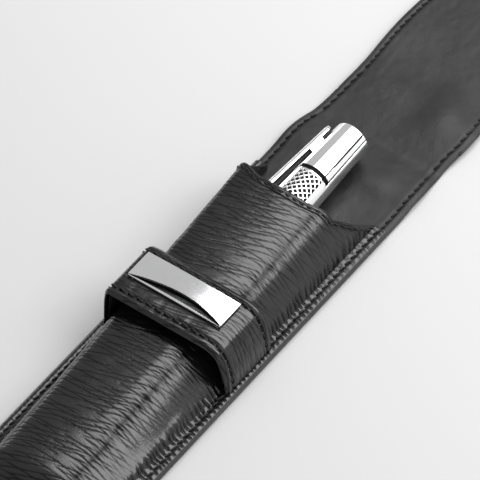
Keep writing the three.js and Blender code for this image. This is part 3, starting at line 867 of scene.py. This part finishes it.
MID_SPINE = (FOLD_Y + TURN_Y) / 2
BORDER = 1.95  # distance of the border stitches from the edge
LINING_INSET = 0.12
STRIP_RIM = (0.28, 1.1)  # depth and width of the strip's rolled edge
COVER_FACE = 0.03  # how far the outer leather stands off the table


def strip_rows(low, high, step):
    """Places of the rows along the strip, closer together round the flap's tip."""
    rows = rows_between(low, high, step)
    if high > FLAP_END_Y - 1:
        tip = TIP_Y + TONGUE_HALF * np.sin(np.linspace(0, 1.54, 40))
        rows = np.concatenate([rows[rows < TIP_Y], tip])
    return rows


def cover_relief(surface):
    """Grain of the outer leather, down to its rolled edge, and its creases, whose colour is darkened as
    painted shade.
    """
    x, y = surface[..., 0], surface[..., 1]
    grain, crease_and_shade = long_grain(x, y, 31)
    return GRAIN_DEPTH * grain - rolled_edge(half_distance(x, y, 0.0), *STRIP_RIM), crease_and_shade


def lining_relief(surface):
    """Soft waves, a few creases, the border furrow and the bend line of the smooth lining."""
    x, y = surface[..., 0], surface[..., 1]
    rim = half_distance(x, y, LINING_INSET)
    height = 0.06 * noise(x / 5, y / 5, 60) + 0.035 * noise(x / 1.5, y / 1.9, 61)
    edges = cell_edges(x / 9 + 0.3 * noise(x / 6, y / 6, 63), y / 5, 62, 0.9)
    height -= 0.035 * np.exp(-edges / 0.05)
    furrow = seam_dent(rim - (BORDER - LINING_INSET), y, STITCH, 0.2, 0.6)
    height -= furrow * soft(y, MOUTH_ADVANCE - 2, MOUTH_ADVANCE)
    height -= 0.08 * bell(y - FOLD_Y - 0.02 * x, 1.4)
    return height - rolled_edge(rim, *STRIP_RIM)


def make_strips():
    """Outer leather and lining, in two lengths that meet in the middle of the spine."""
    parts = [("body", BOTTOM_Y, MID_SPINE, -1, ("case", "spine"), FOLD_Y, ("back", "spine")),
             ("flap", MID_SPINE, FLAP_END_Y, 0, ("spine", "flap"), TURN_Y, ("flap",))]
    for part, low, high, cut_row, bodies, crease_y, nodes in parts:
        surface = strip_surface(strip_rows(low, high, 0.34), int(80 * FINE), 0.0)
        height, crease_and_shade = cover_relief(surface)
        cover = sheet_piece(f"{part}_cover", laid(surface, COVER_FACE)[:, ::-1], COVER + 0.27, grain_leather,
                            height[:, ::-1], crease_and_shade[:, ::-1], square_end=cut_row)
        surface = strip_surface(strip_rows(low, high, 0.6), int(110 * FINE), LINING_INSET)
        lining = sheet_piece(f"{part}_lining", laid(surface, STACK), LINING + 0.15, smooth_leather,
                             lining_relief(surface), square_end=cut_row)
        for piece, layer, slot in ((cover, "cover", "grain_leather"), (lining, "lining", "smooth_leather")):
            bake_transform(piece)
            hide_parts(*[f"{node}_{layer}" for node in nodes])


def make_boards():
    """The two stiffening boards, hidden between the leather and the lining."""
    for name, node, body, low, high in (
            ("back_stiffener", "back_board", "case", BOTTOM_Y + 3, FOLD_Y - 4),
            ("flap_stiffener", "flap_board", "flap", TURN_Y + 3.5, FLAP_END_Y - 6)):
        surface = laid(strip_surface(rows_between(low, high, 1.5), 24, 3.0), COVER + 0.45)
        settle(sheet_piece(name, surface, 0.2, board), body, "board", node)


def half_distance(x, y, inset):
    """Distance from the strip's edge, sideways and at its two ends."""
    side = strip_half_width(y) - inset - np.abs(x)
    tip = TONGUE_HALF - inset - np.hypot(x, np.maximum(y - TIP_Y, 0))
    return np.minimum(np.where(y > TIP_Y, tip, side), np.maximum(y - BOTTOM_Y, 0))


def laid(surface, z):
    """A flat grid of the strip moved to where the strip lies, z above its underside."""
    x, y = surface[..., 0], surface[..., 1]
    return np.stack([x + strip_sway(y), y, z + strip_lift(x, y)], axis=-1)


def strip_seam(sign, low, high):
    """The border stitch line on one side of the strip, between two places along it."""
    y = np.linspace(low, high, 60)
    return laid(np.stack([sign * (strip_half_width(y) - BORDER), y], axis=1), STACK)


def make_strip_stitches():
    """Border stitches of the spine and the flap."""
    for side, sign in SIDES:
        path = strip_seam(sign, FOLD_Y + 0.8, TURN_Y - 0.6)
        stitch_row(f"spine_stitches_{side}", f"spine_thread_{side}", "spine", path, upward(path))
    y = np.linspace(TURN_Y + 0.6, TIP_Y, 200)
    x = strip_half_width(y) - BORDER
    angle = np.linspace(0, np.pi, 90)[1:-1]
    inner = TONGUE_HALF - BORDER
    line_x = np.concatenate([x, inner * np.cos(angle), -x[::-1]])
    line_y = np.concatenate([y, TIP_Y + inner * np.sin(angle), y[::-1]])
    path = laid(np.stack([line_x, line_y], axis=1), STACK)
    stitch_row("flap_stitches", "flap_thread", "flap", path, upward(path))


# ---- pen ----
PEN_TURN = Vector((0, 1, 0)).rotation_difference(PEN_AXIS).to_matrix().to_4x4()
PEN_PLACE = Matrix.Translation(PEN_ORIGIN) @ PEN_TURN


def place_on_pen(piece, body, slot, *replaced):
    """Move a piece made about the y axis onto the pen's axis."""
    piece.data.transform(PEN_PLACE)
    piece.data.update()
    settle(piece, body, slot, *replaced)


def rings_round(radius, y, turn):
    """Grid of points round the y axis, one row for each radius and y."""
    radius, y = np.asarray(radius), np.asarray(y)
    return np.stack([radius * np.cos(turn), y + 0 * turn, radius * np.sin(turn)], axis=2)


def column(*values):
    """Values in a column, one to a ring."""
    return np.array(values, float)[:, None]


CAP_RADIUS = 6.45  # at the pocket mouth, from where the cap tapers both ways


def cap_radius(y):
    """Radius of the plain cap along its axis."""
    return np.where(y > 0, CAP_RADIUS - 0.034 * y, CAP_RADIUS + 0.027 * y)


GROOVE_ANGLES = (28.0, 47.0)  # lengthwise lines on the cap's right side, in degrees
PANEL_ANGLES = (38.0, 122.0)  # sides of the knurled panel
PANEL_LOW, PANEL_HIGH = -20.0, 9.3
HOOK_ANGLE = 129  # where the cross groove turns down beside the clip
KNURL_PITCH = 1.98
CAP_LOW, CAP_SHOULDER, CAP_HIGH = -28.0, 29.2, 30.0
CAP_BORE = 5.15
BORE_END = 10.8


def groove(distance, half, depth):
    """A flat-bottomed groove with soft lips."""
    return depth * (1 - soft(np.abs(distance), half, half + 0.12))


def cap_height(angle, y, radius):
    """Grooves, panel hollow and knurling as a change of the cap's radius, and how much each point is painted
    near-black as shade.
    """
    degrees = np.degrees(angle)

    def away_from(at):
        return np.radians(degrees - at) * radius

    height = np.zeros(radius.shape)
    for at in GROOVE_ANGLES:
        height -= groove(away_from(at), 0.14, 0.4) * soft(y, 9.4, 9.7)
    in_arc = soft(degrees, 24, 26) * (1 - soft(degrees, 128, 131))
    height -= groove(y - 10.2, 0.52, 0.5) * in_arc
    hook = soft(y, 7.6, 7.9) * (1 - soft(y, 10.3, 10.6))
    height -= groove(away_from(HOOK_ANGLE), 0.2, 0.5) * hook
    right, left = (away_from(at) for at in PANEL_ANGLES)
    beside_panel = groove(left, 0.1, 0.15) + groove(right, 0.1, 0.15)
    height -= beside_panel * (1 - soft(y, PANEL_HIGH, PANEL_HIGH + 0.3))
    inside = soft(np.minimum(-left, right), 0.3, 0.6)
    inside = inside * (1 - soft(y, 8.7, 9.0)) * soft(y, PANEL_LOW, PANEL_LOW + 0.6)
    around = away_from(0)
    diagonals = np.stack([around + y, around - y]) / KNURL_PITCH
    from_ridge = 2 * np.abs(diagonals - np.round(diagonals)).max(axis=0)
    pit = soft(1 - from_ridge, 0.24, 0.36) * inside
    height -= 0.42 * pit
    return height, np.maximum(pit, height < -0.2)


def make_cap():
    """Cap shell with its knurled panel, in one skin, closed by a domed top."""
    turn = np.linspace(0, 2 * np.pi, int(560 * FINE), endpoint=False)
    sides = len(turn)
    y = np.concatenate([np.linspace(CAP_LOW, -21, 12), np.linspace(-20.9, 10.6, int(330 * FINE)),
                        np.linspace(10.7, CAP_SHOULDER, 60)])[:, None]
    radius = cap_radius(y) + 0 * turn
    height, painted_shade = cap_height(turn, y, radius)
    lip = 0.25 * (1 - soft(y, CAP_LOW, CAP_LOW + 0.4))
    bore_radius = column(4.0, CAP_BORE, CAP_BORE, CAP_BORE)
    bore = rings_round(bore_radius, column(BORE_END, 10.0, -20.0, CAP_LOW), turn)
    outside = rings_round(radius - lip + height, y, turn)
    t = np.linspace(0.15, 1, 8)[:, None]
    rim_radius = cap_radius(CAP_SHOULDER) - 0.8 * (1 - np.sqrt(1 - np.minimum(t, 0.999) ** 2))
    rim = rings_round(rim_radius, CAP_SHOULDER + 0.75 * t, turn)
    face = rings_round(column(3.5, 3.3, 3.1, 1.5), column(29.93, 29.8, 29.85, 29.97), turn)
    rings = np.concatenate([bore, outside, rim, face])
    quads = ring_quads(len(rings), sides)
    ends = fans(len(rings), sides)
    vertices = np.concatenate([rings.reshape(-1, 3), [[0, BORE_END, 0], [0, CAP_HIGH, 0]]])
    piece = mesh_piece("cap_body", vertices, quads + ends, chrome)
    piece.data.materials.append(shade_black)
    # Faces in the grooves and knurl pits get the near-black material: painted shade.
    dark = np.zeros(len(vertices))
    first = len(bore) * sides
    dark[first:first + painted_shade.size] = painted_shade.ravel()
    indices = np.zeros(len(quads) + len(ends), np.int32)
    indices[:len(quads)] = dark[np.array(quads)].mean(axis=1) > 0.45
    piece.data.polygons.foreach_set("material_index", indices)
    place_on_pen(piece, "cap", "chrome", "cap_shell", "knurled_panel", "cap_top")


CLIP_ANGLE = 154  # the clip's place round the cap, in degrees
CLIP_RADIUS = 8.37
CLIP_LEAN = 0.06  # how much nearer the axis it comes per millimetre


def make_clip():
    """A slim faceted bar that stands off the cap on one bridge block."""
    rows = [*np.linspace(-14, -10, 12), *np.linspace(-9.5, 25.5, 40), *np.linspace(25.7, 27, 8)]
    right_side = [(-0.55, 1.25), (-0.02, 1.3), (0.06, 0.95), (0.14, 1.3), (0.45, 1.15), (0.7, 0.6)]
    section = right_side + [(depth, -width) for depth, width in reversed(right_side)]
    vertices = []
    for y in rows:
        close = max(soft(-y, 10, 14.6), 0.8 * soft(y, 25.6, 27.5))
        for depth, width in section:
            radius = CLIP_RADIUS - CLIP_LEAN * y + depth * (1 - 0.4 * close)
            vertices.append((radius, y, width * (1 - 0.75 * close)))
    bar = mesh_piece("clip_blade", vertices, inside_out(tube_faces(len(rows), len(section))), chrome)
    block = box_piece("clip_bridge", (5.3, 7.2), (17.0, 22.6), (-1.0, 1.0), chrome)
    bevelled(block, 0.18)
    # A near-black rib under the clip's bar stands in for the deep shadow between clip and cap: painted
    # shade.
    rib = []
    for y in np.linspace(-11, 26.2, 12):
        top = CLIP_RADIUS - CLIP_LEAN * y - 0.5
        low = top - 0.75 + 0.5 * soft(y, 17, 24)
        rib += [(low, y, -0.55), (low, y, 0.55), (top + 0.1, y, 0.55), (top + 0.1, y, -0.55)]
    under = mesh_piece("clip_painted_shadow", rib, inside_out(tube_faces(12, 4)), shade_black, smooth=False)
    foot = ball_piece("clip_foot", (7.75, -12.0, 0.0), 1.25, chrome)
    turn = Matrix.Rotation(-math.radians(CLIP_ANGLE), 4, "Y")
    for piece, replaced in ((bar, ["clip_bar"]), (block, []), (foot, []), (under, [])):
        piece.data.transform(turn)
        place_on_pen(piece, "clip", "chrome", *replaced)


def inside_out(faces):
    """The faces turned to look the other way."""
    return [face[::-1] for face in faces]


def box_piece(name, x, y, z, material):
    """A box from its low and high place on each axis."""
    corners = [(a, b, c) for a in x for b in y for c in z]
    faces = [(0, 1, 3, 2), (4, 6, 7, 5), (0, 4, 5, 1), (2, 3, 7, 6), (0, 2, 6, 4), (1, 5, 7, 3)]
    return mesh_piece(name, corners, faces, material, smooth=False)


def ball_piece(name, centre, radius, material):
    """A ball about a centre."""
    rings, sides = 11, 20
    polar = np.pi * np.arange(1, rings + 1)[:, None] / (rings + 1)
    turn = 2 * np.pi * np.arange(sides) / sides
    flat = radius * np.sin(polar)
    ball = np.stack([flat * np.cos(turn), flat * np.sin(turn), radius * np.cos(polar) + 0 * turn], axis=2)
    vertices = np.concatenate([ball.reshape(-1, 3), [[0, 0, radius], [0, 0, -radius]]]) + centre
    return mesh_piece(name, vertices, ring_quads(rings, sides) + fans(rings, sides), material)


def turned_piece(name, profile, material, sides=96):
    """A closed solid of revolution about the pen's axis from (radius, y) points off the axis."""
    points = np.array(profile, float)
    turn = np.linspace(0, 2 * np.pi, sides, endpoint=False)
    rings = rings_round(points[:, :1], points[:, 1:], turn)
    return mesh_piece(name, rings.reshape(-1, 3), tube_faces(len(points), sides), material)


def rounded_profile(points, radius, steps=4):
    """A (radius, y) profile with its corners rounded."""
    points = [np.array(p, float) for p in points]
    result = [points[0]]
    for before, corner, after in zip(points[:-2], points[1:-1], points[2:]):
        ends = []
        for other in (before, after):
            length = np.linalg.norm(other - corner)
            ends.append(corner + (other - corner) / length * min(radius, length / 2.2))
        for t in np.linspace(0, 1, steps):
            result.append((1 - t) ** 2 * ends[0] + 2 * t * (1 - t) * corner + t ** 2 * ends[1])
    result.append(points[-1])
    return result


def make_barrel():
    """The tapered barrel with its thread groove, and the small end piece."""
    profile = [(0.3, -102.8), (3.1, -102.8), (3.5, -100), (4, -90), (4.6, -70), (5, -50), (5.3, -29.4),
               (5.15, -29.3), (5.15, -29.0), (5.3, -28.9), (5.3, -28.3), (4.2, -28.3)]
    barrel = turned_piece("barrel_tube", rounded_profile(profile, 0.3), chrome)
    place_on_pen(barrel, "pen", "chrome", "pen_barrel")
    profile = [(0.3, -106), (2.2, -106), (2.8, -105), (2.9, -103.1), (0.3, -103.1)]
    finial = turned_piece("barrel_finial", rounded_profile(profile, 0.5), chrome)
    place_on_pen(finial, "pen", "chrome", "barrel_end")


def finish_plain_nodes():
    """Materials for the carried-over CAD nodes that show only when the pen is open."""
    chosen = {
        "ink_cartridge": ink, "pen_section": black_plastic, "section_ring": chrome,
        "pen_feed": black_plastic, "pen_nib": gold, "cap_liner": black_plastic,
        "clip_pin": steel, "plate_backing": steel}
    for node, material in chosen.items():
        data = frame["nodes"][node].data
        data.materials.clear()
        data.materials.append(material)


# ---- studio ----


SURROUND = [(0.0, 0.58), (0.35, 0.66), (0.75, 1.15)]  # brightness from left to right


def make_studio():
    """A pale table, one large soft light above, a weak strip on the left, and a pale surround."""
    nodes = Nodes("white table")
    shade = nodes.noise(nodes.object_point(), 4.0)
    nodes.set(Base_Color=nodes.ramp(shade, [(0.3, (0.455, 0.455, 0.455)), (0.7, (0.465, 0.465, 0.465))]))
    nodes.set(Roughness=0.85)
    size, height = 3000, -0.03
    corners = [(-size, -size, height), (size, -size, height), (size, size, height), (-size, size, height)]
    mesh_piece("table", corners, [[0, 1, 2, 3]], nodes.material)

    area_light("overhead softbox", (0.31, 0.43, 0.6), (0.31, 0.43, 0.0), (1.1, 0.65), 13.0)
    area_light("left strip", (-1.0, 0.6, 0.12), (0.0, 0.0, 0.0), (0.6, 0.14), 0.8)

    world = bpy.data.worlds.new("studio air")
    bpy.context.scene.world = world
    world.use_nodes = True
    tree = world.node_tree
    place = tree.nodes.new("ShaderNodeTexCoord")
    split = tree.nodes.new("ShaderNodeSeparateXYZ")
    ramp = tree.nodes.new("ShaderNodeValToRGB")
    tree.links.new(place.outputs["Generated"], split.inputs["Vector"])
    tree.links.new(split.outputs["X"], ramp.inputs["Fac"])
    tree.links.new(ramp.outputs["Color"], tree.nodes["Background"].inputs["Color"])
    ramp.color_ramp.elements.new(0.5)
    for element, (position, value) in zip(ramp.color_ramp.elements, SURROUND):
        element.position = position
        element.color = (value, value, value, 1)


def area_light(name, place, target, size, power):
    """A softbox at a place, turned towards a target."""
    light = bpy.data.lights.new(name, "AREA")
    light.shape = "RECTANGLE"
    light.size, light.size_y = size
    light.energy = power
    lamp = bpy.data.objects.new(name, light)
    lamp.location = place
    direction = Vector(target) - Vector(place)
    lamp.rotation_euler = direction.to_track_quat("-Z", "Y").to_euler()
    bpy.context.scene.collection.objects.link(lamp)


VIEW_AZIMUTH, VIEW_ELEVATION = math.radians(36.3), math.radians(50.35)
VIEW_TARGET = Vector((-10.0, -12.3, 0.0)) * MM
VIEW_DISTANCE = 1.6
VIEW_WIDTH = 0.1326  # what the frame spans at the target


def make_camera():
    """A long lens from the case's near right, looking down at fifty degrees."""
    level = math.cos(VIEW_ELEVATION)
    towards = Vector((
        math.sin(VIEW_AZIMUTH) * level, -math.cos(VIEW_AZIMUTH) * level, math.sin(VIEW_ELEVATION)))
    camera = bpy.data.cameras.new("camera")
    camera.sensor_width = 36
    camera.lens = camera.sensor_width * VIEW_DISTANCE / VIEW_WIDTH
    camera.clip_end = 20
    seen = bpy.data.objects.new("camera", camera)
    seen.location = VIEW_TARGET + towards * VIEW_DISTANCE
    seen.rotation_euler = (-towards).to_track_quat("-Z", "Y").to_euler()
    bpy.context.scene.collection.objects.link(seen)
    bpy.context.scene.camera = seen
    bpy.context.scene.view_settings.view_transform = "Standard"


make_camera()
make_pocket()
make_pocket_lining()
make_hem()
make_pocket_stitches()
make_band()
make_plate()
make_strips()
make_boards()
make_strip_stitches()
make_cap()
make_clip()
make_barrel()
finish_plain_nodes()
make_studio()
